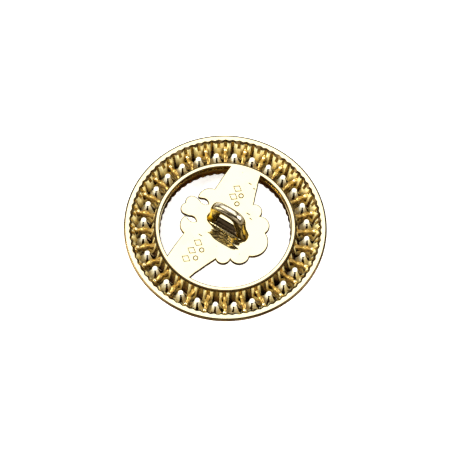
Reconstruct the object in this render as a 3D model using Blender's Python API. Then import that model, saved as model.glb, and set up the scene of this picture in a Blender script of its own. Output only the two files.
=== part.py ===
"""Openwork shank button, back side up: a cast ring and flower plate, set crystals and a sewing shank.

The front of the button faces -Z and rests on z = 0. The strap across the middle runs along Y,
so thread passes through the shank's eye along Y. Sizes are in millimetres and become metres
when a mesh is finished.
"""

import bpy
import bmesh
from math import atan2, cos, pi, radians, sin, tau
from mathutils import Matrix, Vector

MM = 0.001

# Ring, measured from the button's axis
OUTER_RADIUS = 12.5
RING_DEPTH = 3.4
RIM_OUTER_RADIUS = 12.3
CHANNEL_OUTER_RADIUS = 11.75
CHANNEL_INNER_RADIUS = 8.7
OPENING_RADIUS = 8.0
CHANNEL_FLOOR = 0.6
RING_SIDES = 84
WALL_SLOPE = 0.447

# Crystals and the walls between them
CRYSTAL_COUNT = 28
CRYSTAL_CIRCLE_RADIUS = 10.1
CRYSTAL_RADIUS = 1.0
CRYSTAL_TABLE_RADIUS = 0.56
CRYSTAL_CULET_RADIUS = 0.14
CRYSTAL_SIDES = 8
CRYSTAL_TABLE_HEIGHT = 0.12
CRYSTAL_GIRDLE_LOW = 0.42
CRYSTAL_GIRDLE_HIGH = 0.6
CRYSTAL_TIP_HEIGHT = 2.6
SEAT_CLEARANCE = 0.05
SEAT_SIDES = 16
BAR_BOTTOM = 0.4
BAR_TOP = 1.95
BAR_LOW_RADII = (9.2, 11.1)
BAR_TOP_RADII = (8.5, 11.5)
BAR_CREST = 2.3
BAR_MIDDLE_HALF_WIDTH = 0.075
BAR_END_HALF_WIDTH = 0.3

# Plate: the strap and the flower, flush with the ring's rim
PLATE_THICKNESS = 0.5
PETAL_STEPS = 8
STRAP_END_RADIUS = 8.45
STRAP_END_FROM = 89.6
STRAP_END_TO = 117.3
STRAP_END_STEPS = 5
SLIT_X = (-4.95, -4.0, -3.45)
SLIT_HALF_WIDTHS = (0.07, 0.2)
SLIT_Y = 1.41

# Relief on the front of the plate
RELIEF_PETALS = 8
RELIEF_CIRCLE_RADIUS = 2.9
RELIEF_PETAL_SIZE = (1.7, 1.0, 0.75)
RELIEF_CENTRE_RADIUS = 1.5
RELIEF_CENTRE_HEIGHT = 1.1

# Shank
SHANK_CENTRE_X = 0.32
SHANK_GAP = 0.03
SHANK_HEIGHT = 5.0
SHANK_FOOT_HALF_WIDTH = 2.7
SHANK_WAIST_HALF_WIDTH = 2.15
SHANK_WAIST_HEIGHT = 1.0
SHANK_SHOULDER_HALF_WIDTH = 1.85
SHANK_HALF_DEPTH = 0.6
SHANK_EDGE_BEVEL = 0.22
SHOULDER_RADIUS = 1.15
BRIDGE_THICKNESS = 0.95
EYE_BOTTOM = 0.5
EYE_BOTTOM_HALF_WIDTH = 1.5
EYE_TOP_HALF_WIDTH = 1.05
EYE_CORNER_RADIUS = 0.6
FOOT_INSET = 0.4
FOOT_RADII = (0.62, 0.8, 1.0)

PITCH = tau / CRYSTAL_COUNT


def make_material(name, colour, roughness, metallic):
    material = bpy.data.materials.new(name)
    material.use_nodes = True
    shader = material.node_tree.nodes["Principled BSDF"]
    shader.inputs["Base Color"].default_value = (*colour, 1.0)
    shader.inputs["Roughness"].default_value = roughness
    shader.inputs["Metallic"].default_value = metallic
    return material


def finish_mesh(bm, name):
    bmesh.ops.recalc_face_normals(bm, faces=bm.faces[:])
    bm.transform(Matrix.Scale(MM, 4))
    mesh = bpy.data.meshes.new(name)
    bm.to_mesh(mesh)
    bm.free()
    return mesh


def add_object(name, mesh, material=None):
    obj = bpy.data.objects.new(name, mesh)
    bpy.context.scene.collection.objects.link(obj)
    if material:
        mesh.materials.clear()
        mesh.materials.append(material)
    return obj


def add_guide(name, bm):
    guide = add_object(name, finish_mesh(bm, name))
    guide.hide_render = True
    guide.display_type = "WIRE"
    return guide


def add_boolean(obj, guide, operation):
    modifier = obj.modifiers.new(guide.name, "BOOLEAN")
    modifier.operation = operation
    modifier.solver = "EXACT"
    modifier.object = guide


def shade_round(mesh, angle):
    mesh.shade_smooth()
    mesh.set_sharp_from_angle(angle=radians(angle))


def arc_between(start, end, rise, steps):
    """Points after start, up to and with end, on an arc that bulges to the right by rise."""
    start = Vector(start)
    end = Vector(end)
    chord = end - start
    half = chord.length / 2
    radius = (half * half + rise * rise) / (2 * rise)
    right = Vector((chord.y, -chord.x)).normalized()
    centre = (start + end) / 2 + right * (rise - radius)
    first = atan2(start.y - centre.y, start.x - centre.x)
    sweep = 2 * atan2(half, radius - rise)
    angles = [first + sweep * step / steps for step in range(1, steps + 1)]
    return [(centre.x + radius * cos(a), centre.y + radius * sin(a)) for a in angles]


def extrude_outline(points, low, high):
    """A closed prism in Z from an outline in plan."""
    bm = bmesh.new()
    face = bm.faces.new([bm.verts.new((x, y, low)) for x, y in points])
    result = bmesh.ops.extrude_face_region(bm, geom=[face])
    moved = [item for item in result["geom"] if isinstance(item, bmesh.types.BMVert)]
    bmesh.ops.translate(bm, verts=moved, vec=(0, 0, high - low))
    return bm


def spin_profile(profile, sides):
    """Turn a closed profile of (radius, height) points about the Z axis."""
    bm = bmesh.new()
    verts = [bm.verts.new((radius, 0, height)) for radius, height in profile]
    edges = [bm.edges.new((verts[i - 1], verts[i])) for i in range(len(verts))]
    bmesh.ops.spin(
        bm,
        geom=verts + edges,
        cent=(0, 0, 0),
        axis=(0, 0, 1),
        angle=tau,
        steps=sides,
        use_merge=True,
    )
    return bm


def ring_profile():
    wall_top = RING_DEPTH - 0.35
    outer_low = 0.7
    low_radius = OUTER_RADIUS - (wall_top - outer_low) * WALL_SLOPE
    return [
        (RIM_OUTER_RADIUS, RING_DEPTH),
        (OUTER_RADIUS - 0.06, RING_DEPTH - 0.09),
        (OUTER_RADIUS, wall_top),
        (low_radius, outer_low),
        (low_radius - 0.25, 0.25),
        (low_radius - 0.6, 0.0),
        (9.5, 0.0),
        (8.85, 0.3),
        (8.35, 1.0),
        (OPENING_RADIUS, 1.9),
        (OPENING_RADIUS, RING_DEPTH),
        (CHANNEL_INNER_RADIUS, RING_DEPTH),
        (CHANNEL_INNER_RADIUS + 0.05, 1.7),
        (9.25, CHANNEL_FLOOR),
        (11.0, CHANNEL_FLOOR),
        (CHANNEL_OUTER_RADIUS - 0.4, 1.9),
        (CHANNEL_OUTER_RADIUS, RING_DEPTH),
    ]


def seat_cutters():
    """One open hole through the ring's front for each crystal."""
    bm = bmesh.new()
    depth = CHANNEL_FLOOR + 2.0
    for index in range(CRYSTAL_COUNT):
        angle = index * PITCH
        place = Matrix.Rotation(angle, 4, "Z") @ Matrix.Translation((CRYSTAL_CIRCLE_RADIUS, 0, 0))
        bmesh.ops.create_cone(
            bm,
            cap_ends=True,
            segments=SEAT_SIDES,
            radius1=CRYSTAL_RADIUS + SEAT_CLEARANCE,
            radius2=CRYSTAL_RADIUS + SEAT_CLEARANCE,
            depth=depth,
            matrix=place @ Matrix.Rotation(pi / SEAT_SIDES, 4, "Z"),
        )
    return bm


def cross_bars():
    """A radial wall between each two crystals, waisted in the middle and with a raised crest."""
    middle = CRYSTAL_CIRCLE_RADIUS
    stations = [
        (BAR_LOW_RADII[0], BAR_TOP_RADII[0], BAR_END_HALF_WIDTH, BAR_TOP),
        (middle - 0.6, middle - 0.6, BAR_MIDDLE_HALF_WIDTH + 0.05, BAR_TOP),
        (middle, middle, BAR_MIDDLE_HALF_WIDTH, BAR_CREST),
        (middle + 0.5, middle + 0.6, BAR_MIDDLE_HALF_WIDTH + 0.08, BAR_TOP),
        (BAR_LOW_RADII[1], BAR_TOP_RADII[1], BAR_END_HALF_WIDTH, BAR_TOP),
    ]
    bm = bmesh.new()
    for index in range(CRYSTAL_COUNT):
        turn = Matrix.Rotation((index + 0.5) * PITCH, 4, "Z")
        rings = []
        for low_radius, top_radius, half, top in stations:
            corners = [
                (low_radius, -half, BAR_BOTTOM),
                (low_radius, half, BAR_BOTTOM),
                (top_radius, half * 0.6, top),
                (top_radius, -half * 0.6, top),
            ]
            rings.append([bm.verts.new(turn @ Vector(corner)) for corner in corners])
        for first, second in zip(rings, rings[1:]):
            for i in range(4):
                bm.faces.new((first[i - 1], first[i], second[i], second[i - 1]))
        bm.faces.new(rings[0])
        bm.faces.new(rings[-1])
    return bm


def plate_half_outline():
    """The plate's outline where y is positive, from the right of the strap round to the left."""
    first = (4.66, 1.86)
    second = (2.91, 3.46)
    third = (1.375, 4.41)
    points = arc_between((4.66, -1.86), first, 1.2, PETAL_STEPS)[PETAL_STEPS // 2 - 1 :]
    points += arc_between(first, second, 0.8, PETAL_STEPS)
    points += arc_between(second, third, 0.6, PETAL_STEPS)
    points.append((0.56, 6.56))
    for step in range(STRAP_END_STEPS + 1):
        angle = radians(STRAP_END_FROM + (STRAP_END_TO - STRAP_END_FROM) * step / STRAP_END_STEPS)
        points.append((STRAP_END_RADIUS * cos(angle), STRAP_END_RADIUS * sin(angle)))
    points.append((-3.81, 3.56))
    mouth, bulge, end = SLIT_X
    narrow, wide = SLIT_HALF_WIDTHS
    points += arc_between((-3.81, 3.56), (mouth, SLIT_Y + narrow), 0.55, PETAL_STEPS)
    points += [(bulge, SLIT_Y + wide), (end, SLIT_Y), (bulge, SLIT_Y - wide)]
    points += [(mouth, SLIT_Y - narrow)]
    points += arc_between((mouth, SLIT_Y - narrow), (-5.85, 0.0), 0.6, PETAL_STEPS)
    return points


def plate_outline():
    upper = plate_half_outline()
    lower = [(x, -y) for x, y in upper[-2:0:-1]]
    return upper + lower


def plate_relief():
    """A generic rosette in low relief on the plate's front: petals round a centre."""
    bm = bmesh.new()
    low = RING_DEPTH - PLATE_THICKNESS
    for index in range(RELIEF_PETALS):
        turn = Matrix.Rotation(index * tau / RELIEF_PETALS, 4, "Z")
        place = turn @ Matrix.Translation((RELIEF_CIRCLE_RADIUS, 0, low + 0.1))
        size = Matrix.Diagonal((*RELIEF_PETAL_SIZE, 1.0))
        bmesh.ops.create_icosphere(bm, subdivisions=2, radius=1.0, matrix=place @ size)
    trim_above(bm, low + 0.25)
    return bm


def trim_above(bm, level):
    """Cut away what lies above a level and close the cut."""
    bmesh.ops.bisect_plane(
        bm,
        geom=bm.verts[:] + bm.edges[:] + bm.faces[:],
        plane_co=(0, 0, level),
        plane_no=(0, 0, 1),
        clear_outer=True,
    )
    bmesh.ops.holes_fill(bm, edges=[edge for edge in bm.edges if edge.is_boundary], sides=0)


def plate_centre():
    bm = bmesh.new()
    low = RING_DEPTH - PLATE_THICKNESS
    size = Matrix.Diagonal((RELIEF_CENTRE_RADIUS, RELIEF_CENTRE_RADIUS, RELIEF_CENTRE_HEIGHT, 1.0))
    place = Matrix.Translation((0, 0, low + 0.1))
    bmesh.ops.create_icosphere(bm, subdivisions=2, radius=1.0, matrix=place @ size)
    trim_above(bm, low + 0.25)
    return bm


def build_casting():
    gold = make_material("gold_plate", (0.86, 0.7, 0.38), 0.12, 1.0)
    mesh = finish_mesh(spin_profile(ring_profile(), RING_SIDES), "body_casting")
    body = add_object("body_casting", mesh, gold)
    plate = extrude_outline(plate_outline(), RING_DEPTH - PLATE_THICKNESS, RING_DEPTH)
    add_boolean(body, add_guide("seat_cutters", seat_cutters()), "DIFFERENCE")
    add_boolean(body, add_guide("cross_bar_stock", cross_bars()), "UNION")
    add_boolean(body, add_guide("plate_stock", plate), "UNION")
    add_boolean(body, add_guide("relief_stock", plate_relief()), "UNION")
    add_boolean(body, add_guide("centre_stock", plate_centre()), "UNION")
    return body


def crystal_mesh():
    """A pointed stone: flat table at the front, a girdle and a long faceted back to the culet."""
    levels = [
        (CRYSTAL_TABLE_RADIUS, CRYSTAL_TABLE_HEIGHT),
        (CRYSTAL_RADIUS, CRYSTAL_GIRDLE_LOW),
        (CRYSTAL_RADIUS, CRYSTAL_GIRDLE_HIGH),
        (CRYSTAL_CULET_RADIUS, CRYSTAL_TIP_HEIGHT),
    ]
    bm = bmesh.new()
    rings = []
    for radius, height in levels:
        angles = [(i + 0.5) * tau / CRYSTAL_SIDES for i in range(CRYSTAL_SIDES)]
        rings.append([bm.verts.new((radius * cos(a), radius * sin(a), height)) for a in angles])
    for low, high in zip(rings, rings[1:]):
        for i in range(CRYSTAL_SIDES):
            bm.faces.new((low[i - 1], low[i], high[i], high[i - 1]))
    bm.faces.new(rings[0])
    bm.faces.new(rings[-1])
    return finish_mesh(bm, "crystal")


def build_crystals():
    foil = make_material("crystal_foil", (0.9, 0.76, 0.42), 0.08, 1.0)
    mesh = crystal_mesh()
    for index in range(CRYSTAL_COUNT):
        crystal = add_object(f"crystal_{index + 1:02d}", mesh, foil)
        angle = index * PITCH
        reach = CRYSTAL_CIRCLE_RADIUS * MM
        crystal.location = (reach * cos(angle), reach * sin(angle), 0)
        crystal.rotation_euler = (0, 0, angle)


def shank_side(sign):
    """One side of the loop's outer outline, from the foot up to the end of the flat top."""
    foot = (sign * SHANK_FOOT_HALF_WIDTH, 0.0)
    waist = (sign * SHANK_WAIST_HALF_WIDTH, SHANK_WAIST_HEIGHT)
    shoulder = (sign * SHANK_SHOULDER_HALF_WIDTH, SHANK_HEIGHT - SHOULDER_RADIUS)
    turn_x = SHANK_SHOULDER_HALF_WIDTH - SHOULDER_RADIUS
    points = [foot, waist, shoulder]
    for step in range(1, 6):
        angle = step * pi / 10
        x = sign * (turn_x + SHOULDER_RADIUS * cos(angle))
        points.append((x, SHANK_HEIGHT - SHOULDER_RADIUS + SHOULDER_RADIUS * sin(angle)))
    return points


def eye_side(sign):
    """One side of the eye's outline, from the bottom up to the end of its flat top."""
    top = SHANK_HEIGHT - BRIDGE_THICKNESS
    turn_x = EYE_TOP_HALF_WIDTH - EYE_CORNER_RADIUS
    points = [
        (sign * EYE_BOTTOM_HALF_WIDTH, EYE_BOTTOM),
        (sign * EYE_TOP_HALF_WIDTH, top - EYE_CORNER_RADIUS),
    ]
    for step in range(1, 5):
        angle = step * pi / 8
        x = sign * (turn_x + EYE_CORNER_RADIUS * cos(angle))
        points.append((x, top - EYE_CORNER_RADIUS + EYE_CORNER_RADIUS * sin(angle)))
    return points


def upright(bm):
    """Stand a prism made in plan up on the plate, its depth along Y."""
    base = RING_DEPTH + SHANK_GAP
    place = Matrix.Translation((SHANK_CENTRE_X, 0, base))
    bm.transform(place @ Matrix.Rotation(pi / 2, 4, "X"))
    return bm


def shank_feet():
    """A rounded swelling at the foot of each leg, cut flat underneath."""
    bm = bmesh.new()
    for sign in (-1, 1):
        x = SHANK_CENTRE_X + sign * (SHANK_FOOT_HALF_WIDTH - FOOT_INSET)
        place = Matrix.Translation((x, 0, RING_DEPTH + SHANK_GAP))
        size = Matrix.Diagonal((*FOOT_RADII, 1.0))
        bmesh.ops.create_uvsphere(bm, u_segments=12, v_segments=8, radius=1.0, matrix=place @ size)
    geometry = bm.verts[:] + bm.edges[:] + bm.faces[:]
    cut = bmesh.ops.bisect_plane(
        bm,
        geom=geometry,
        plane_co=(0, 0, RING_DEPTH + SHANK_GAP),
        plane_no=(0, 0, -1),
        clear_outer=True,
    )
    rim = [item for item in cut["geom_cut"] if isinstance(item, bmesh.types.BMEdge)]
    bmesh.ops.holes_fill(bm, edges=rim, sides=0)
    return bm


def build_shank():
    brass = make_material("shank_gold", (0.72, 0.55, 0.26), 0.18, 1.0)
    outline = shank_side(-1) + shank_side(1)[::-1]
    bm = extrude_outline(outline, -SHANK_HALF_DEPTH, SHANK_HALF_DEPTH)
    flat = [face for face in bm.faces if abs(face.normal.z) > 0.9]
    edges = [edge for face in flat for edge in face.edges]
    bmesh.ops.bevel(
        bm,
        geom=edges,
        offset=SHANK_EDGE_BEVEL,
        segments=2,
        profile=0.5,
        affect="EDGES",
        material=-1,
    )
    mesh = finish_mesh(upright(bm), "shank_loop")
    shank = add_object("shank_loop", mesh, brass)
    eye = extrude_outline(eye_side(-1) + eye_side(1)[::-1], -2.0, 2.0)
    add_boolean(shank, add_guide("eye_cutter", upright(eye)), "DIFFERENCE")
    add_boolean(shank, add_guide("foot_stock", shank_feet()), "UNION")
    return shank


def main():
    for obj in list(bpy.data.objects):
        bpy.data.objects.remove(obj, do_unlink=True)
    body = build_casting()
    build_crystals()
    shank = build_shank()
    for obj in (body, shank):
        shade_round(obj.data, 35)


main()
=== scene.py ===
from math import atan2, cos, exp, pi, radians, sin, tau

import bmesh
import bpy
from mathutils import Matrix, Quaternion, Vector


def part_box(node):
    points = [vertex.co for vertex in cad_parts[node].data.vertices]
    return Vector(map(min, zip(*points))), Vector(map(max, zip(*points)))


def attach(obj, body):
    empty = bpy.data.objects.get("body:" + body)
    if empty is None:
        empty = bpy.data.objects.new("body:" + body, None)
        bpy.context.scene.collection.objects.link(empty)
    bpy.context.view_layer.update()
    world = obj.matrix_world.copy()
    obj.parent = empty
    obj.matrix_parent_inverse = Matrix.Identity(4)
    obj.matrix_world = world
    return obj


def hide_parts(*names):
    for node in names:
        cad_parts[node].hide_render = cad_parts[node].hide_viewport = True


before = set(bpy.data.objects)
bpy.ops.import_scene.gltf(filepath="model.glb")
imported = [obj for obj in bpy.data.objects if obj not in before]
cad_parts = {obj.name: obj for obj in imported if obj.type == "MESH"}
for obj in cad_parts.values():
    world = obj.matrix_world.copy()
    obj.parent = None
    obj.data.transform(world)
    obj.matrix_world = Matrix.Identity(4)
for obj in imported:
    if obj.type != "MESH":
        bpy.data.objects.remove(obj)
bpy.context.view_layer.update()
print("frame loaded:", len(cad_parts), "nodes")

mm = 0.001

# driving sizes, in millimetres, from the frame's own boxes
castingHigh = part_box("body_casting")[1] / mm
loopLow, loopHigh = (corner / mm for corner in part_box("shank_loop"))
stoneNames = sorted(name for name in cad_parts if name.startswith("crystal_"))
stoneBoxes = {name: tuple(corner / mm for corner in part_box(name)) for name in stoneNames}
outerRadius = castingHigh.x
rimTop = max(high.z for low, high in stoneBoxes.values()) + 0.8
cellCount = len(stoneNames)
pitch = tau / cellCount
firstLow, firstHigh = stoneBoxes[stoneNames[0]]
stoneCircle = (firstLow.x + firstHigh.x) / 2


class Wire:  # a socket that can be used in Python sums
    def __init__(self, finish, socket):
        self.finish = finish
        self.socket = socket

    def __add__(self, other):
        return self.finish.sum("ADD", self, other)

    def __radd__(self, other):
        return self.finish.sum("ADD", other, self)

    def __sub__(self, other):
        return self.finish.sum("SUBTRACT", self, other)

    def __rsub__(self, other):
        return self.finish.sum("SUBTRACT", other, self)

    def __mul__(self, other):
        return self.finish.sum("MULTIPLY", self, other)

    def __rmul__(self, other):
        return self.finish.sum("MULTIPLY", other, self)


class Finish:  # one material and its nodes
    def __init__(self, name):
        self.material = bpy.data.materials.new(name)
        self.material.use_nodes = True
        self.tree = self.material.node_tree
        self.shader = self.tree.nodes["Principled BSDF"]

    def plug(self, socket, value):
        if isinstance(value, Wire):
            self.tree.links.new(value.socket, socket)
        elif isinstance(value, tuple) and len(value) == 3 and socket.type == "RGBA":
            socket.default_value = (*value, 1.0)
        else:
            socket.default_value = value

    def add(self, kind, settings=None, values=None, out=0):
        node = self.tree.nodes.new(kind)
        for key, value in (settings or {}).items():
            if key == "stops":
                ramp = node.color_ramp
                while len(ramp.elements) < len(value):
                    ramp.elements.new(0.5)
                for element, (position, colour) in zip(ramp.elements, value):
                    element.position = position
                    element.color = (*colour, 1.0)
            else:
                setattr(node, key, value)
        for key, value in (values or {}).items():
            self.plug(node.inputs[key], value)
        return Wire(self, node.outputs[out])

    def sum(self, operation, first, second):
        return self.add("ShaderNodeMath", {"operation": operation}, {0: first, 1: second})

    def set(self, **values):
        for key, value in values.items():
            self.plug(self.shader.inputs[key.replace("_", " ")], value)

    def mix(self, amount, first, second):
        settings = {"data_type": "RGBA", "clamp_factor": True}
        return self.add("ShaderNodeMix", settings, {0: amount, 6: first, 7: second}, out=2)

    def ease(self, value, low, high):  # 0 at low, 1 at high, smooth between
        settings = {"interpolation_type": "SMOOTHSTEP", "clamp": True}
        return self.add("ShaderNodeMapRange", settings, {0: value, 1: low, 2: high})

    def inMillimetres(self):
        place = self.add("ShaderNodeTexCoord", out="Object")
        return self.add("ShaderNodeMapping", None, {"Vector": place, "Scale": (1 / mm,) * 3})

    def noise(self, place, scale, detail=4.0, rough=0.55):
        values = {"Vector": place, "Scale": scale, "Detail": detail, "Roughness": rough}
        return self.add("ShaderNodeTexNoise", None, values)

    def cells(self, place, scale):
        return self.add("ShaderNodeTexVoronoi", None, {"Vector": place, "Scale": scale})

    def bump(self, height, depth, strength=1.0):
        values = {"Height": height, "Distance": depth * mm, "Strength": strength}
        return self.add("ShaderNodeBump", None, values)


def plateGold(name, look):
    finish = Finish(name)
    place = finish.inMillimetres()
    height = finish.add("ShaderNodeSeparateXYZ", None, {"Vector": place}, out="Z")
    depth = finish.add("ShaderNodeSeparateXYZ", None, {"Vector": place}, out="Y")
    cloud = finish.noise(place, look["cloudScale"])
    grain = finish.noise(place, look["grainScale"], 3.0)
    ragged = height + (grain - 0.5) * look["lowShadeRagged"]
    # painted shade by height: lower parts run to the deep tone and tops keep the bright one
    paintedShadeHeight = height + (grain - 0.5) * look["paintedShadeRagged"]
    shade = 1.0 - finish.ease(paintedShadeHeight, look["paintedShadeFrom"], look["paintedShadeTo"])
    if "highlightStripAt" in look:  # painted highlight: away from a strip the colour is pushed to the deep tone, so only the strip stays bright
        aside = finish.sum("ABSOLUTE", depth - look["highlightStripAt"], 0.0)
        beside = finish.ease(aside, *look["highlightStripBand"])
        shade = finish.sum("MAXIMUM", shade, beside)
    # painted shade: darker again towards the bottom of each piece, with a ragged edge; the same dark
    # colour also fills the pits
    shadeAndPitDirt = 1.0 - finish.ease(ragged, look["lowShadeFrom"], look["lowShadeTo"])
    worn = finish.ease(cloud, *look["wornBand"])
    colour = finish.mix(worn * look["cloudAmount"], look["bright"], look["deep"])
    colour = finish.mix(shade * look["paintedShadeAmount"], colour, look["deep"])
    colour = finish.mix(shadeAndPitDirt * look["lowShadeAmount"], colour, look["shadeAndPitDirt"])
    stretched = finish.add("ShaderNodeMapping", None, {"Vector": place, "Scale": look["scratchStretch"]})
    scratches = finish.noise(stretched, look["scratchScale"], 2.0, 0.7)
    pits = 1.0 - finish.ease(finish.cells(place, look["pitScale"]), *look["pitBand"])
    pits = pits * finish.ease(finish.noise(place, look["pitCloudScale"], 1.0), *look["pitCloudBand"])
    colour = finish.mix(pits * look["pitDirt"], colour, look["shadeAndPitDirt"])
    scratched = finish.ease(scratches, *look["scratchBand"])
    roughness = look["roughness"] + scratched * look["scratchRoughness"] + shadeAndPitDirt * look["lowShadeRoughness"]
    waves = finish.noise(place, look["waveScale"], 1.0)
    relief = waves * look["waveHeight"] + scratches * look["scratchHeight"] - pits * look["pitDepth"]
    normal = finish.bump(relief, 1.0)
    finish.set(Base_Color=colour, Roughness=roughness, Normal=normal, Metallic=look["metallic"])
    finish.set(Specular_Tint=look["edgeTint"])
    return finish.material


castLook = {  # sizes in millimetres, heights from the front
    "metallic": 1.0,
    "bright": (0.97, 0.88, 0.56),
    "deep": (0.87, 0.64, 0.22),
    "shadeAndPitDirt": (0.09, 0.03, 0.012),
    "cloudScale": 0.45,
    "cloudAmount": 0.10,
    "wornBand": (0.42, 0.68),
    "grainScale": 2.6,
    "lowShadeRagged": 0.5,
    "paintedShadeRagged": 0.5,
    "paintedShadeFrom": 1.4,
    "paintedShadeTo": 3.3,
    "paintedShadeAmount": 0.7,
    "lowShadeFrom": 0.7,
    "lowShadeTo": 1.6,
    "lowShadeAmount": 0.8,
    "lowShadeRoughness": 0.08,
    "roughness": 0.07,
    "scratchStretch": (0.35, 2.6, 1.0),
    "scratchScale": 2.4,
    "scratchBand": (0.45, 0.75),
    "scratchRoughness": 0.05,
    "scratchHeight": 0.0004,
    "waveScale": 0.55,
    "waveHeight": 0.003,
    "pitScale": 2.4,
    "pitBand": (0.02, 0.16),
    "pitDirt": 0.6,
    "pitCloudScale": 0.5,
    "pitCloudBand": (0.6, 0.64),
    "pitDepth": 0.012,
    "edgeTint": (1.0, 1.0, 1.0),
}
shadedWallLook = {  # painted shade: the ring's outer wall, a darker, warmer copy of the flat rims' gold
    **castLook,
    "bright": (0.66, 0.53, 0.27),
    "deep": (0.48, 0.33, 0.12),
    "paintedShadeAmount": 0.7,
    "cloudAmount": 0.3,
    "roughness": 0.14,
    "lowShadeFrom": -0.3,
    "lowShadeTo": 0.5,
    "lowShadeAmount": 0.5,
}
cellLook = {  # bars, panels and skirts inside the channel
    **castLook,
    "metallic": 0.45,
    "bright": (1.0, 0.93, 0.5),
    "deep": (0.86, 0.6, 0.13),
    "cloudScale": 0.9,
    "cloudAmount": 0.35,
    "roughness": 0.13,
    "paintedShadeAmount": 0.6,
    "lowShadeFrom": 0.35,
    "lowShadeTo": 1.25,
    "lowShadeAmount": 0.6,
}
# painted shade: a darker copy of the channel gold for the bars
shadedBarLook = {
    **cellLook,
    "metallic": 0.6,
    "bright": (0.52, 0.36, 0.09),
    "deep": (0.33, 0.18, 0.035),
    "cloudAmount": 0.6,
}
shadedEdgeLook = {  # painted shade: a dark brown copy of the gold for edges and sides, drawing dark edge lines and shaded sides
    **castLook,
    "bright": (0.085, 0.055, 0.02),
    "deep": (0.045, 0.025, 0.01),
    "edgeTint": (0.16, 0.10, 0.04),
    "cloudScale": 0.8,
    "cloudAmount": 0.8,
    "roughness": 0.3,
    "lowShadeFrom": 0.2,
    "lowShadeTo": 2.4,
    "lowShadeAmount": 0.6,
}
pocketShadeLook = {  # painted shade: a dark copy of the gold for recesses in the channel
    **castLook,
    "metallic": 0.9,
    "bright": (0.42, 0.28, 0.06),
    "deep": (0.13, 0.07, 0.02),
    "cloudScale": 0.8,
    "cloudAmount": 0.9,
    "roughness": 0.2,
    "lowShadeFrom": 0.4,
    "lowShadeTo": 2.6,
    "lowShadeAmount": 0.8,
}
# painted reflection: a near-black copy of the foil for the facets that show dark reflections
foilDarkReflectionLook = {
    **castLook,
    "metallic": 0.9,
    "bright": (0.13, 0.085, 0.035),
    "deep": (0.05, 0.03, 0.02),
    "shadeAndPitDirt": (0.02, 0.01, 0.008),
    "cloudScale": 1.6,
    "cloudAmount": 0.9,
    "roughness": 0.12,
}
# painted highlight: the foil backs are near-white and not metallic, standing for their bright
# reflections
foilHighlightLook = {
    **castLook,
    "metallic": 0.0,
    "bright": (1.0, 0.99, 0.88),
    "deep": (0.97, 0.92, 0.6),
    "cloudScale": 1.3,
    "cloudAmount": 0.2,
    "lowShadeFrom": 0.5,
    "lowShadeTo": 1.0,
    "lowShadeAmount": 0.5,
    "roughness": 0.08,
    "waveScale": 1.5,
    "waveHeight": 0.004,
}
# painted shade and highlight: the loop is a dark copy of the gold, with a painted highlight along its
# crown
loopShadedLook = {
    **castLook,
    "bright": (0.95, 0.88, 0.66),
    "deep": (0.075, 0.048, 0.014),
    "edgeTint": (0.6, 0.5, 0.32),
    "shadeAndPitDirt": (0.03, 0.018, 0.008),
    "cloudScale": 0.8,
    "cloudAmount": 0.35,
    "lowShadeRagged": 1.2,
    "paintedShadeRagged": 0.1,
    "highlightStripAt": 0.12,
    "highlightStripBand": (0.176, 0.286),
    "paintedShadeFrom": 7.7,
    "paintedShadeTo": 8.4,
    "paintedShadeAmount": 0.9,
    "lowShadeFrom": 3.8,
    "lowShadeTo": 5.8,
    "lowShadeAmount": 0.92,
    "roughness": 0.2,
    "waveScale": 1.0,
    "waveHeight": 0.04,
}


stoneLook = {
    "clear": (0.99, 0.98, 0.96),
    "hazy": (0.93, 0.91, 0.88),
    "hazeScale": 1.6,
    "smearScale": 2.5,
    "smearBand": (0.5, 0.8),
    "smearRoughness": 0.06,
    "roughness": 0.01,
    "refraction": 1.56,
}


def clearStone(name, look):
    finish = Finish(name)
    place = finish.inMillimetres()
    haze = finish.noise(place, look["hazeScale"], 3.0)
    tint = finish.mix(haze, look["clear"], look["hazy"])
    smears = finish.ease(finish.noise(place, look["smearScale"], 2.0), *look["smearBand"])
    smears = smears * look["smearRoughness"]
    finish.set(Base_Color=tint, Roughness=look["roughness"] + smears, Metallic=0.0)
    finish.set(IOR=look["refraction"], Transmission_Weight=1.0)
    return finish.material


castingFinish = plateGold("castingGold", castLook)
shadedWallFinish = plateGold("shadedWallGold", shadedWallLook)
shadedEdgeFinish = plateGold("shadedEdgeGold", shadedEdgeLook)
cellFinish = plateGold("cellGold", cellLook)
shadedBarFinish = plateGold("shadedBarGold", shadedBarLook)
pocketShadeFinish = plateGold("pocketShadeGold", pocketShadeLook)
foilHighlightFinish = plateGold("stoneFoilHighlight", foilHighlightLook)
foilDarkReflectionFinish = plateGold("foilDarkReflection", foilDarkReflectionLook)
loopShadedFinish = plateGold("loopShadedGold", loopShadedLook)
stoneFinish = clearStone("clearStone", stoneLook)
print("finishes ready:", len(bpy.data.materials))


flats = {  # how a piece is shared out between the lit flat finish and the painted-shade edge and outer wall finishes
    "level": 0.97,
    "wallFrom": 9.4,
    "wallTop": rimTop - 0.4,
}


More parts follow.
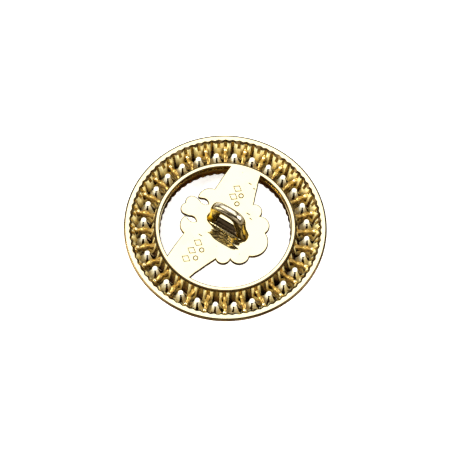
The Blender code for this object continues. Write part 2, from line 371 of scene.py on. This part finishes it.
def addPiece(name, bm, finishes, angle, nodes, flatOnly=False):
    bmesh.ops.recalc_face_normals(bm, faces=bm.faces[:])
    if flatOnly:  # painted shade: level faces keep the first finish, edges and inner sides take the second, a darker copy
        for face in bm.faces:
            face.material_index = 0 if abs(face.normal.z) > flats["level"] else 1
            middle = face.calc_center_median()
            low = middle.z < flats["wallTop"]
            if len(finishes) > 2 and middle.xy.length > flats["wallFrom"] and low:
                face.material_index = 2
    bmesh.ops.scale(bm, vec=(mm, mm, mm), verts=bm.verts[:])
    mesh = bpy.data.meshes.new(name)
    bm.to_mesh(mesh)
    bm.free()
    piece = bpy.data.objects.new(name, mesh)
    bpy.context.scene.collection.objects.link(piece)
    for finish in finishes:
        mesh.materials.append(finish)
    mesh.shade_smooth()
    mesh.set_sharp_from_angle(angle=radians(angle))
    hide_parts(*nodes)
    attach(piece, "root")
    print("made", name, len(mesh.polygons), "faces")


def spinRound(bm, steps):  # a full turn of a line about the Z axis
    bmesh.ops.spin(
        bm,
        geom=bm.verts[:] + bm.edges[:],
        cent=(0, 0, 0),
        axis=(0, 0, 1),
        angle=tau,
        steps=steps,
        use_merge=True,
    )


def cutLevel(bm, height, side):  # removes what lies above (1) or below (-1) and closes the cut
    bmesh.ops.bisect_plane(
        bm,
        geom=bm.verts[:] + bm.edges[:] + bm.faces[:],
        plane_co=(0, 0, height),
        plane_no=(0, 0, side),
        clear_outer=True,
    )
    bmesh.ops.holes_fill(bm, edges=[edge for edge in bm.edges if edge.is_boundary], sides=0)


def repeatRound(bm, count, phase=0.0):
    bmesh.ops.rotate(bm, cent=(0, 0, 0), matrix=Matrix.Rotation(phase, 3, "Z"), verts=bm.verts[:])
    bmesh.ops.spin(
        bm,
        geom=bm.verts[:] + bm.edges[:] + bm.faces[:],
        cent=(0, 0, 0),
        axis=(0, 0, 1),
        angle=tau * (count - 1) / count,
        steps=count - 1,
        use_duplicate=True,
    )
    return bm


def turnedProfile(points, rounding, steps):
    bm = bmesh.new()
    corners = [bm.verts.new((radius, 0, height)) for radius, height in points]
    bm.faces.new(corners)
    for size in sorted(set(rounding)):
        chosen = [corner for corner, amount in zip(corners, rounding) if amount == size]
        bmesh.ops.bevel(
            bm, geom=chosen, offset=size, affect="VERTICES", segments=3, profile=0.5, material=-1
        )
    bmesh.ops.delete(bm, geom=bm.faces[:], context="FACES_ONLY")
    spinRound(bm, steps)
    return bm


def addEllipsoid(bm, centre, size, turn=Matrix.Identity(4), sides=12, rings=8):
    place = Matrix.Translation(centre) @ turn @ Matrix.Diagonal((*size, 1.0))
    bmesh.ops.create_uvsphere(bm, u_segments=sides, v_segments=rings, radius=1.0, matrix=place)


def curveSolid(outlines, halfDepth, edge, resolution):
    # a flat curve filled between its outlines, given thickness and rounded edges
    curve = bpy.data.curves.new("outline", "CURVE")
    curve.dimensions = "2D"
    curve.fill_mode = "BOTH"
    curve.extrude = halfDepth - edge
    curve.bevel_depth = edge
    curve.bevel_resolution = resolution
    curve.offset = -edge
    for outline in outlines:
        spline = curve.splines.new("POLY")
        spline.points.add(len(outline) - 1)
        for point, (x, y) in zip(spline.points, outline):
            point.co = (x, y, 0, 1)
        spline.use_cyclic_u = True
    holder = bpy.data.objects.new("outline", curve)
    bpy.context.scene.collection.objects.link(holder)
    bpy.context.view_layer.update()
    mesh = bpy.data.meshes.new_from_object(holder.evaluated_get(bpy.context.evaluated_depsgraph_get()))
    bm = bmesh.new()
    bm.from_mesh(mesh)
    bmesh.ops.remove_doubles(bm, verts=bm.verts[:], dist=0.0005)
    bpy.data.objects.remove(holder)
    bpy.data.curves.remove(curve)
    bpy.data.meshes.remove(mesh)
    return bm


def arcBetween(start, end, rise, steps):  # bulges to the right of the way from start to end
    start = Vector(start)
    end = Vector(end)
    chord = end - start
    half = chord.length / 2
    radius = (half * half + rise * rise) / (2 * rise)
    right = Vector((chord.y, -chord.x)).normalized()
    centre = (start + end) / 2 + right * (rise - radius)
    first = atan2(start.y - centre.y, start.x - centre.x)
    sweep = 2 * atan2(half, radius - rise)
    angles = [first + sweep * step / steps for step in range(1, steps + 1)]
    return [(centre.x + radius * cos(a), centre.y + radius * sin(a)) for a in angles]


def circlePoints(radius, fromAngle, toAngle, steps):
    angles = [fromAngle + (toAngle - fromAngle) * step / steps for step in range(steps + 1)]
    return [(radius * cos(a), radius * sin(a)) for a in angles]


# ring: a turned shell, with a channel at the back and a seat through the front for each stone
ring = {
    "steps": 336,
    "profile": [
        (12.27, rimTop, 0.02),
        (outerRadius - 0.02, rimTop - 0.09, 0.04),
        (outerRadius, rimTop - 0.4, 0.06),
        (11.45, 0.7, 0.15),
        (11.2, 0.25, 0.1),
        (10.85, 0.0, 0.1),
        (9.5, 0.0, 0.1),
        (8.85, 0.3, 0.1),
        (8.3, 0.95, 0.1),
        (8.06, 1.45, 0.04),
        (8.06, 2.6, 0.04),
        (8.64, 2.6, 0.04),
        (8.68, 1.7, 0.1),
        (9.25, 0.5, 0.15),
        (11.0, 0.5, 0.15),
        (11.5, 1.9, 0.15),
        (11.79, rimTop, 0.02),
    ],
    "seatRadius": 1.05,
    "seatSides": 40,
    "seatDepth": 1.6,
    "seatMiddle": 0.3,
    "notches": 84,
    "notchDepth": 0.07,
    "notchBand": (11.7, 11.9),
}


def buildRingShell():
    points = [(radius, height) for radius, height, rounding in ring["profile"]]
    bm = turnedProfile(points, [rounding for radius, height, rounding in ring["profile"]], ring["steps"])
    bandFrom, bandTo = ring["notchBand"]
    for vert in bm.verts:  # the channel's outer edge is notched
        if vert.co.z > rimTop - 0.1 and bandFrom < vert.co.xy.length < bandTo:
            wave = -cos(ring["notches"] * atan2(vert.co.y, vert.co.x))
            vert.co.xy += vert.co.xy.normalized() * ring["notchDepth"] * wave
    bmesh.ops.recalc_face_normals(bm, faces=bm.faces[:])
    shell = holdMesh("ringShell", bm)
    cutters = bmesh.new()
    bmesh.ops.create_cone(
        cutters,
        cap_ends=True,
        segments=ring["seatSides"],
        radius1=ring["seatRadius"],
        radius2=ring["seatRadius"],
        depth=ring["seatDepth"],
        matrix=Matrix.Translation((stoneCircle, 0, ring["seatMiddle"])),
    )
    repeatRound(cutters, cellCount)
    cutter = holdMesh("seatCutter", cutters)
    modifier = shell.modifiers.new("seats", "BOOLEAN")
    modifier.operation = "DIFFERENCE"
    modifier.solver = "EXACT"
    modifier.object = cutter
    cut = takeMesh(shell)
    bpy.data.objects.remove(shell)
    bpy.data.objects.remove(cutter)
    finishes = [castingFinish, shadedEdgeFinish, shadedWallFinish]
    addPiece("ringShell", cut, finishes, 30, ["body_casting"], True)


def holdMesh(name, bm):
    mesh = bpy.data.meshes.new(name)
    bm.to_mesh(mesh)
    bm.free()
    holder = bpy.data.objects.new(name + "Stock", mesh)
    bpy.context.scene.collection.objects.link(holder)
    return holder


def takeMesh(holder):
    bpy.context.view_layer.update()
    mesh = bpy.data.meshes.new_from_object(holder.evaluated_get(bpy.context.evaluated_depsgraph_get()))
    bm = bmesh.new()
    bm.from_mesh(mesh)
    bpy.data.meshes.remove(mesh)
    return bm


buildRingShell()


# plate: the ring's inner rim, the strap and the flower, all one flush face
plate = {
    "rimInner": 8.0,
    "rimOuter": 8.74,
    "thickness": 0.5,
    "edge": 0.11,
    "petalSteps": 14,
    "rightTop": 89.6,
    "leftTop": 118.3,
    "slitY": 1.41,
}


def rightContour():  # from the top of the strap's right edge down to the flower's tip on the X axis
    steps = plate["petalSteps"]
    first = (4.66, 1.86)
    second = (2.91, 3.46)
    third = (1.375, 4.41)
    points = arcBetween((4.66, -1.86), first, 1.2, steps)[steps // 2 - 1 :]
    points += arcBetween(first, second, 0.8, steps)
    points += arcBetween(second, third, 0.6, steps)
    points += [(0.86, 5.7), (0.56, 6.56), (0.3, 7.2)]
    return points


def leftContour():  # from the foot of the strap's left edge round to the notch on the X axis
    steps = plate["petalSteps"]
    mid = plate["slitY"]
    points = [(-3.86, 5.6), (-3.81, 3.56)]
    points += arcBetween((-3.81, 3.56), (-4.95, mid + 0.07), 0.55, steps)
    points += [(-4.55, mid + 0.12), (-4.2, mid + 0.3), (-3.85, mid + 0.33), (-3.55, mid + 0.2)]
    points += [(-3.36, mid), (-3.55, mid - 0.2), (-3.85, mid - 0.33), (-4.2, mid - 0.3)]
    points += [(-4.55, mid - 0.12), (-4.95, mid - 0.07)]
    points += arcBetween((-4.95, mid - 0.07), (-5.85, 0.0), 0.6, steps)
    return points


def flipped(points):
    return [(x, -y) for x, y in points]


def buildPlate():
    rightHalf = rightContour()
    leftHalf = leftContour()
    rightAngle = radians(plate["rightTop"])
    leftAngle = radians(plate["leftTop"])
    inner = plate["rimInner"] + plate["edge"]
    rightWindow = circlePoints(inner, -rightAngle, rightAngle, 90)
    rightWindow += rightHalf[::-1] + flipped(rightHalf[1:])
    leftWindow = circlePoints(inner, leftAngle, tau - leftAngle, 60)
    leftWindow += flipped(leftHalf) + leftHalf[-2::-1]
    outer = circlePoints(plate["rimOuter"] - plate["edge"], 0, tau - tau / 224, 223)
    half = plate["thickness"] / 2
    bm = curveSolid([outer, rightWindow, leftWindow], half, plate["edge"], 2)
    bmesh.ops.translate(bm, vec=(0, 0, rimTop - half), verts=bm.verts[:])
    addPiece("plateAndRim", bm, [castingFinish, shadedEdgeFinish], 40, ["body_casting"], True)


buildPlate()


# the channel's two walls, in flat cast panels, three notches to a cell at the outer rim
walls = {
    "columns": 12,
    "outerRows": [(10.9, 0.62), (11.12, 0.95), (11.3, 1.7), (11.42, 2.5), (11.62, 3.1), (11.8, 3.39)],
    "innerRows": [(9.3, 0.62), (9.05, 0.95), (8.86, 1.7), (8.76, 2.5), (8.72, 3.1), (8.68, 3.39)],
    "panelDepths": [0.0, 0.0, 0.16, 0.34, 0.36, 0.34, 0.16, 0.0, 0.0, 0.14, 0.2, 0.14],
    "panelByRow": [0.3, 0.9, 1.0, 0.9, 0.45, 0.0],
    "notchByRow": [0.0, 0.0, 0.02, 0.05, 0.11, 0.07],
    "innerDepths": [0.0, 0.12, 0.2, 0.12, 0.0, 0.0, 0.0, 0.0, 0.12, 0.2, 0.12, 0.0],
    "backing": 0.12,
    "shadeDepth": 0.15,
    "notchFrom": 2.7,
    "edgeShadeFrom": 3.1,
}


def buildWall(name, rows, depths, facing, notched):
    columns = walls["columns"] * cellCount
    bm = bmesh.new()
    bmesh.ops.create_grid(bm, x_segments=columns, y_segments=len(rows) - 1, size=1.0)
    for vert in bm.verts:
        column = round((vert.co.x + 1) / 2 * columns)
        row = round((vert.co.y + 1) / 2 * (len(rows) - 1))
        radius, height = rows[row]
        radius -= facing * depths[column % walls["columns"]] * walls["panelByRow"][row]
        if notched:
            radius += walls["notchByRow"][row] * cos(column * tau / 4)
        angle = (column / walls["columns"] - 0.5) * pitch
        vert.co = (radius * cos(angle), radius * sin(angle), height)
    bmesh.ops.remove_doubles(bm, verts=bm.verts[:], dist=0.0005)
    edges = [edge for edge in bm.edges if edge.is_boundary]
    skirt = bmesh.ops.extrude_edge_only(bm, edges=edges)
    for item in skirt["geom"]:
        if isinstance(item, bmesh.types.BMVert):
            item.co += Vector((item.co.x, item.co.y, 0)).normalized() * facing * walls["backing"]
    bmesh.ops.bridge_loops(bm, edges=[edge for edge in bm.edges if edge.is_boundary])
    for face in bm.faces:  # painted shade: recesses between the panels and the notches take the dark pocket copy, the top band the dark edge copy
        middle = face.calc_center_median()
        column = int((atan2(middle.y, middle.x) / pitch + 0.5) % 1.0 * walls["columns"])
        depth = depths[column] + depths[(column + 1) % walls["columns"]]
        notch = notched and middle.z > walls["notchFrom"] and column % 4 in (0, 3)
        recess = notch or depth < walls["shadeDepth"]
        face.material_index = 2 if middle.z > walls["edgeShadeFrom"] else 1 if recess else 0
    addPiece(name, bm, [cellFinish, pocketShadeFinish, shadedEdgeFinish], 12, ["body_casting"])


buildWall("outerWall", walls["outerRows"], walls["panelDepths"], 1, True)
buildWall("innerWall", walls["innerRows"], walls["innerDepths"], -1, False)


# rope-like bars between the cells, humped in the middle, each drawn down to a thin web
bars = {
    "sides": 10,
    "steps": 16,
    "from": 8.62,
    "to": 11.55,
    "halfWidth": 0.24,
    "halfHeight": 0.2,
    "height": 1.95,
    "hump": 0.3,
    "humpAt": stoneCircle,
    "humpWidth": 0.55,
    "riseFrom": 10.6,
    "outerRise": 0.28,
    "twist": 0.22,
    "twistRate": 5.2,
    "endFrom": 0.75,
    "endFlare": 0.5,
    "swayFrom": 8.7,
    "sway": 0.05,
    "swayRate": 4.3,
    "webTo": 0.62,
    "webRadii": (8.9, 11.1),
    "nodeAt": 11.0,
    "nodeSize": (0.24, 0.21, 0.12),
    "nodeLift": 0.35,
}


def buildBars():
    bm = bmesh.new()
    bmesh.ops.create_uvsphere(bm, u_segments=bars["sides"], v_segments=bars["steps"], radius=1.0)
    half = (bars["to"] - bars["from"]) / 2
    for vert in bm.verts:
        along = 2 * atan2(vert.co.z, vert.co.xy.length) / pi
        across = vert.co.xy.normalized() if vert.co.xy.length > 0.001 else Vector((0, 0))
        radius = bars["from"] + half * (1 + along)
        hump = exp(-(((radius - bars["humpAt"]) / bars["humpWidth"]) ** 2))
        rise = max(0.0, radius - bars["riseFrom"]) * bars["outerRise"] + bars["hump"] * hump
        thick = 1 + bars["twist"] * cos((radius - bars["humpAt"]) * bars["twistRate"])
        thick += bars["endFlare"] * max(0.0, abs(along) - bars["endFrom"])
        side = across.x * bars["halfWidth"] * thick
        height = bars["height"] + rise + across.y * bars["halfHeight"] * thick
        if across.y < -0.5:
            side *= 0.5
            height = bars["webTo"]
            radius = max(bars["webRadii"][0], min(bars["webRadii"][1], radius))
        sway = bars["sway"] * sin((radius - bars["swayFrom"]) * bars["swayRate"])
        vert.co = (radius, side + sway, height)
    repeatRound(bm, cellCount, pitch / 2)
    addPiece("crossBars", bm, [shadedBarFinish], 50, ["body_casting"])
    bm = bmesh.new()
    addEllipsoid(bm, (bars["nodeAt"], 0, bars["height"] + bars["nodeLift"]), bars["nodeSize"])
    repeatRound(bm, cellCount, pitch / 2)
    addPiece("barNodes", bm, [castingFinish], 60, ["body_casting"])


buildBars()


# floor of the cells: a low faceted skirt that rises from each stone to the walls and bars
skirts = {
    "sides": 8,
    "rings": [(0.98, 0.55), (1.03, 0.72), (1.32, 1.25), (1.5, 1.0)],
    "base": 0.5,
    "gap": 0.03,
    "reach": (-1.15, 1.1),
}


def buildSkirts():
    bm = bmesh.new()
    line = [bm.verts.new((radius, 0, height)) for radius, height in skirts["rings"]]
    line.append(bm.verts.new((skirts["rings"][-1][0], 0, skirts["base"])))
    line.append(bm.verts.new((skirts["rings"][0][0], 0, skirts["base"])))
    for first, second in zip(line, line[1:] + line[:1]):
        bm.edges.new((first, second))
    spinRound(bm, skirts["sides"])
    bmesh.ops.rotate(bm, cent=(0, 0, 0), matrix=Matrix.Rotation(tau / 16, 3, "Z"), verts=bm.verts[:])
    for vert in bm.verts:  # kept between the bars and inside the walls
        room = pitch * (stoneCircle + vert.co.x) / 2 - skirts["gap"]
        vert.co.y = max(-room, min(room, vert.co.y))
        vert.co.x = max(skirts["reach"][0], min(skirts["reach"][1], vert.co.x))
    bmesh.ops.translate(bm, vec=(stoneCircle, 0, 0), verts=bm.verts[:])
    repeatRound(bm, cellCount)
    addPiece("cellSkirts", bm, [cellFinish], 15, ["body_casting"])


buildSkirts()


# stones: foil-backed points with a small blunt tip
stone = {
    "facets": 8,
    "profile": [
        (0.56, 0.12),
        (1.0, 0.42),
        (1.0, 0.62),
        (0.72, 1.1),
        (0.5, 1.7),
        (0.36, 2.3),
        (0.32, 2.5),
    ],
    "capRadius": 0.24,
    "edge": 0.06,
    "longEdge": 0.55,
    "darkReflectionFacets": (0, 2, 5),
    "darkReflectionHalf": 0.4,
    "darkReflectionHeights": (0.75, 2.48),
    "turn": -82.5,
    "wander": 9,
    "foilFrom": 0.5,
}


def buildStones():
    for index, name in enumerate(stoneNames):
        low, high = stoneBoxes[name]
        bm = bmesh.new()
        bottom = bm.verts.new((0, 0, stone["profile"][0][1]))
        line = [bottom] + [bm.verts.new((radius, 0, height)) for radius, height in stone["profile"]]
        line.append(bm.verts.new((stone["capRadius"], 0, high.z)))
        line.append(bm.verts.new((0, 0, high.z)))
        for first, second in zip(line, line[1:]):
            bm.edges.new((first, second))
        spinRound(bm, stone["facets"])
        bmesh.ops.remove_doubles(bm, verts=bm.verts[:], dist=0.001)
        long = [edge for edge in bm.edges if edge.calc_length() > stone["longEdge"]]
        bmesh.ops.bevel(
            bm, geom=long, offset=stone["edge"], affect="EDGES", segments=2, profile=0.5, material=-1
        )
        for face in bm.faces:  # painted reflection: a few broad facets of the back are painted dark and the rest near-white, standing for the foil's dark and bright reflections
            middle = face.calc_center_median()
            turned = atan2(middle.y, middle.x) / tau * stone["facets"] % stone["facets"]
            broad = abs(turned % 1 - 0.5) < stone["darkReflectionHalf"]
            between = stone["darkReflectionHeights"][0] < middle.z < stone["darkReflectionHeights"][1]
            dark = broad and between and int(turned) in stone["darkReflectionFacets"]
            face.material_index = 1 if middle.z < stone["foilFrom"] else 2 if dark else 0
        turn = radians(stone["turn"] + stone["wander"] * sin(index * 7.0))
        centre = (low + high) / 2
        bm.transform(Matrix.Translation((centre.x, centre.y, 0)) @ Matrix.Rotation(turn, 4, "Z"))
        pieceName = name.replace("crystal_", "stone_")
        addPiece(pieceName, bm, [foilHighlightFinish, stoneFinish, foilDarkReflectionFinish], 20, [name])


buildStones()


# scalloped lower edge of the ring's inner wall, and the grains that hold the stones at the front
beads = {
    "scallops": 56,
    "scallopCircle": 8.13,
    "scallopHeight": 1.5,
    "scallopSize": (0.16, 0.42, 0.26),
    "grainSize": (0.17, 0.17, 0.16),
    "grainCircles": (9.45, 10.72),
    "grainHeights": (0.17, 0.2),
}


def buildBeads():
    bm = bmesh.new()
    addEllipsoid(bm, (beads["scallopCircle"], 0, beads["scallopHeight"]), beads["scallopSize"])
    repeatRound(bm, beads["scallops"])
    # the scallops take the dark brown painted-shade finish
    addPiece("innerScallops", bm, [shadedEdgeFinish], 60, ["body_casting"])
    bm = bmesh.new()
    for circle, height in zip(beads["grainCircles"], beads["grainHeights"]):
        addEllipsoid(bm, (circle, 0, height), beads["grainSize"])
    repeatRound(bm, cellCount, pitch / 2)
    addPiece("frontGrains", bm, [castingFinish], 60, ["body_casting"])


buildBeads()


# raised marks cast on the strap: plain lozenges, rings and dashes in a thin raised line
marks = {
    "line": 0.12,
    "height": 0.05,
    "sunk": 0.02,
    "lozenges": [(-1.7, -6.3), (-1.7, -5.0), (-1.6, -3.7), (-1.45, 5.1), (-1.3, 3.9)],
    "lozengeSize": (0.62, 0.5),
    "rings": [(-0.75, -5.6), (-0.7, -4.3), (-0.55, 4.5), (-0.4, 3.3)],
    "ringSize": 0.34,
    "dashes": [(-1.9, -2.7, 0.3), (-0.5, 6.5, 0.25), (0.3, 6.2, 0.18), (1.5, 2.9, 0.3), (2.1, 2.5, 0.2)],
}


def addOutline(bm, x, y, sides, sizeX, sizeY):
    place = Matrix.Translation((x, y, rimTop - marks["sunk"])) @ Matrix.Diagonal((sizeX, sizeY, 1, 1))
    made = bmesh.ops.create_circle(bm, cap_ends=True, segments=sides, radius=1.0, matrix=place)
    face = made["verts"][0].link_faces[0]
    bmesh.ops.inset_region(bm, faces=[face], thickness=marks["line"], use_boundary=True)
    bmesh.ops.delete(bm, geom=[face], context="FACES_ONLY")


def buildMarks():
    bm = bmesh.new()
    for x, y in marks["lozenges"]:
        addOutline(bm, x, y, 4, *marks["lozengeSize"])
    for x, y in marks["rings"]:
        addOutline(bm, x, y, 16, marks["ringSize"], marks["ringSize"])
    for x, y, length in marks["dashes"]:
        size = Matrix.Diagonal((length, marks["line"] / 2, 1, 1))
        place = Matrix.Translation((x, y, rimTop - marks["sunk"])) @ size
        bmesh.ops.create_circle(bm, cap_ends=True, segments=8, radius=1.0, matrix=place)
    bmesh.ops.recalc_face_normals(bm, faces=bm.faces[:])
    raised = bmesh.ops.extrude_face_region(bm, geom=bm.faces[:], use_keep_orig=True)
    tops = [item for item in raised["geom"] if isinstance(item, bmesh.types.BMVert)]
    bmesh.ops.translate(bm, vec=(0, 0, marks["height"]), verts=tops)
    # the marks take the dark brown painted-shade finish, so they read as dark lines
    addPiece("strapMarks", bm, [shadedEdgeFinish], 30, ["body_casting"])


buildMarks()


# the plate's front: a plain rosette of rounded petals round a low dome
rosette = {
    "petals": 8,
    "circle": 2.9,
    "petalSize": (1.75, 1.05, 0.8),
    "centreSize": (1.5, 1.5, 1.1),
    "grains": 12,
    "grainCircle": 1.55,
    "grainSize": (0.2, 0.2, 0.2),
    "grainDepth": 0.45,
    "crease": 0.25,
    "creaseWidth": 0.16,
    "sunk": 0.1,
}


def buildRosette():
    level = rimTop - plate["thickness"] + rosette["sunk"]
    bm = bmesh.new()
    addEllipsoid(bm, (rosette["circle"], 0, level), rosette["petalSize"], sides=32, rings=20)
    for vert in bm.verts:  # a crease along the petal
        depth = max(0.0, level - vert.co.z)
        vert.co.z += rosette["crease"] * depth * exp(-((vert.co.y / rosette["creaseWidth"]) ** 2))
    cutLevel(bm, level + rosette["sunk"], 1)
    repeatRound(bm, rosette["petals"])
    addPiece("frontPetals", bm, [castingFinish], 60, ["body_casting"])
    bm = bmesh.new()
    addEllipsoid(bm, (0, 0, level), rosette["centreSize"], sides=40, rings=24)
    cutLevel(bm, level + rosette["sunk"], 1)
    addPiece("frontCentre", bm, [castingFinish], 60, ["body_casting"])
    bm = bmesh.new()
    place = (rosette["grainCircle"], 0, level - rosette["grainDepth"])
    addEllipsoid(bm, place, rosette["grainSize"], sides=16, rings=10)
    repeatRound(bm, rosette["grains"])
    addPiece("frontCentreGrains", bm, [castingFinish], 60, ["body_casting"])


buildRosette()


# sewing loop: a thick rounded band bent over a low base bar
loop = {
    "halfDepth": 0.6,
    "shoulderHalf": 2.38,
    "crownFrom": 2.6,
    "crownPower": 0.72,
    "crownSteps": 24,
    "bridge": 1.25,
    "eyeBottom": (1.5, 0.55),
    "eyeTopHalf": 0.9,
    "eyeRadius": 0.6,
    "edge": 0.42,
    "flare": [(2.88, 0.0), (2.92, 0.3), (2.76, 0.75), (2.54, 1.3), (2.42, 2.1)],
    "voxel": 0.055,
    "smoothing": 26,
    "solder": (2.2, 0.11, 0.1),
    "solderIn": 0.03,
    "solderUp": 0.02,
}


def loopOutline(sign):
    crown = loopHigh.z - loopLow.z - loop["crownFrom"]
    points = [(sign * x, z) for x, z in loop["flare"]]
    for step in range(loop["crownSteps"]):
        angle = step / loop["crownSteps"] * pi / 2
        x = loop["shoulderHalf"] * cos(angle) ** loop["crownPower"]
        points.append((sign * x, loop["crownFrom"] + crown * sin(angle) ** loop["crownPower"]))
    return points


def eyeOutline(sign):
    top = loopHigh.z - loopLow.z - loop["bridge"]
    turnX = loop["eyeTopHalf"] - loop["eyeRadius"]
    points = [(sign * loop["eyeBottom"][0], loop["eyeBottom"][1])]
    for step in range(9):
        angle = step * pi / 16
        x = turnX + loop["eyeRadius"] * cos(angle)
        points.append((sign * x, top - loop["eyeRadius"] + loop["eyeRadius"] * sin(angle)))
    return points


def buildLoop():
    outer = loopOutline(-1) + [(0, loopHigh.z - loopLow.z)] + loopOutline(1)[::-1]
    eye = eyeOutline(-1) + eyeOutline(1)[::-1]
    bm = curveSolid([outer, eye], loop["halfDepth"], loop["edge"], 4)
    centreX = (loopLow.x + loopHigh.x) / 2
    bm.transform(Matrix.Translation((centreX, 0, loopLow.z)) @ Matrix.Rotation(pi / 2, 4, "X"))
    stock = holdMesh("loop", bm)
    remesh = stock.modifiers.new("cast", "REMESH")
    remesh.mode = "VOXEL"
    remesh.voxel_size = loop["voxel"]
    cast = takeMesh(stock)
    bpy.data.objects.remove(stock)
    for turn in range(loop["smoothing"]):
        bmesh.ops.smooth_vert(
            cast, verts=cast.verts[:], factor=0.5, use_axis_x=True, use_axis_y=True, use_axis_z=True
        )
    cutLevel(cast, loopLow.z, -1)
    addPiece("sewingLoop", cast, [loopShadedFinish], 60, ["shank_loop"])
    bm = bmesh.new()
    place = (centreX, loop["solderIn"] - loop["halfDepth"], rimTop + loop["solderUp"])
    addEllipsoid(bm, place, loop["solder"], sides=24, rings=12)
    addPiece("solderLine", bm, [castingFinish], 60, ["shank_loop"])


buildLoop()


# camera, floor, world and lights
studio = {
    "target": Vector((0, 0, rimTop * mm)),
    "azimuth": 30,
    "elevation": 65.5,
    "roll": 2.6,
    "distance": 0.30,
    "frameWidth": 0.0555,
    "sensor": 36.0,
    "nudge": (0.00008, -0.00001),
    "floorZ": -0.00002,
    "floorGlow": 0.72,
    "worldColour": (0.20, 0.15, 0.10, 1.0),
    "worldStrength": 0.7,
    "boxes": [  # name, turn from the camera, elevation, distance, size, brightness
        ("topBox", 180, 66, 0.5, (0.46, 0.46), 1.55),
        ("leftBox", -90, 35, 0.5, (0.35, 0.5), 10.0),
        ("rightBox", 80, 35, 0.5, (0.2, 0.35), 7.0),
        ("frontBox", 0, 30, 0.5, (0.42, 0.36), 3.6),
        ("lowBox", 15, 14, 0.6, (0.7, 0.22), 0.9),
        ("lowBox", 105, 14, 0.6, (0.7, 0.22), 0.9),
        ("lowBox", 195, 14, 0.6, (0.7, 0.22), 0.9),
        ("lowBox", 285, 14, 0.6, (0.7, 0.22), 0.9),
    ],
}


def directionFrom(azimuth, elevation):
    a = radians(azimuth)
    e = radians(elevation)
    return Vector((sin(a) * cos(e), -cos(a) * cos(e), sin(e)))


def addCamera():
    back = directionFrom(studio["azimuth"], studio["elevation"])
    data = bpy.data.cameras.new("camera")
    data.sensor_width = studio["sensor"]
    data.lens = studio["sensor"] * studio["distance"] / studio["frameWidth"]
    data.clip_start = 0.01
    data.clip_end = 10.0
    camera = bpy.data.objects.new("camera", data)
    bpy.context.scene.collection.objects.link(camera)
    facing = (-back).to_track_quat("-Z", "Y") @ Quaternion((0, 0, 1), radians(studio["roll"]))
    right = facing @ Vector((1, 0, 0))
    up = facing @ Vector((0, 1, 0))
    aim = studio["target"] + right * studio["nudge"][0] + up * studio["nudge"][1]
    camera.rotation_mode = "QUATERNION"
    camera.rotation_quaternion = facing
    camera.location = aim + back * studio["distance"]
    bpy.context.scene.camera = camera


def addSoftbox(name, turn, elevation, distance, size, brightness):
    data = bpy.data.lights.new(name, "AREA")
    data.shape = "RECTANGLE"
    data.size, data.size_y = size
    data.energy = brightness * pi * size[0] * size[1]
    light = bpy.data.objects.new(name, data)
    bpy.context.scene.collection.objects.link(light)
    towards = directionFrom(studio["azimuth"] + turn, elevation)
    light.location = studio["target"] + towards * distance
    light.rotation_mode = "QUATERNION"
    light.rotation_quaternion = towards.to_track_quat("Z", "Y")


def addFloor():
    bm = bmesh.new()
    bmesh.ops.create_grid(bm, x_segments=1, y_segments=1, size=1.5)
    mesh = bpy.data.meshes.new("floor")
    bm.to_mesh(mesh)
    bm.free()
    floor = bpy.data.objects.new("floor", mesh)
    bpy.context.scene.collection.objects.link(floor)
    finish = Finish("paper")
    place = finish.inMillimetres()
    shade = finish.mix(finish.noise(place, 0.02), (0.93, 0.93, 0.93), (0.9, 0.9, 0.9))
    finish.set(Base_Color=shade, Roughness=0.9)
    finish.set(Emission_Color=(1.0, 1.0, 1.0), Emission_Strength=studio["floorGlow"])
    mesh.materials.append(finish.material)
    floor.location.z = studio["floorZ"]


def addWorld():
    world = bpy.data.worlds.new("studio")
    world.use_nodes = True
    background = world.node_tree.nodes["Background"]
    background.inputs["Color"].default_value = studio["worldColour"]
    background.inputs["Strength"].default_value = studio["worldStrength"]
    bpy.context.scene.world = world
    bpy.context.scene.view_settings.view_transform = "Standard"


addCamera()
addFloor()
addWorld()
for box in studio["boxes"]:
    addSoftbox(*box)
print("studio ready:", len(studio["boxes"]), "softboxes")
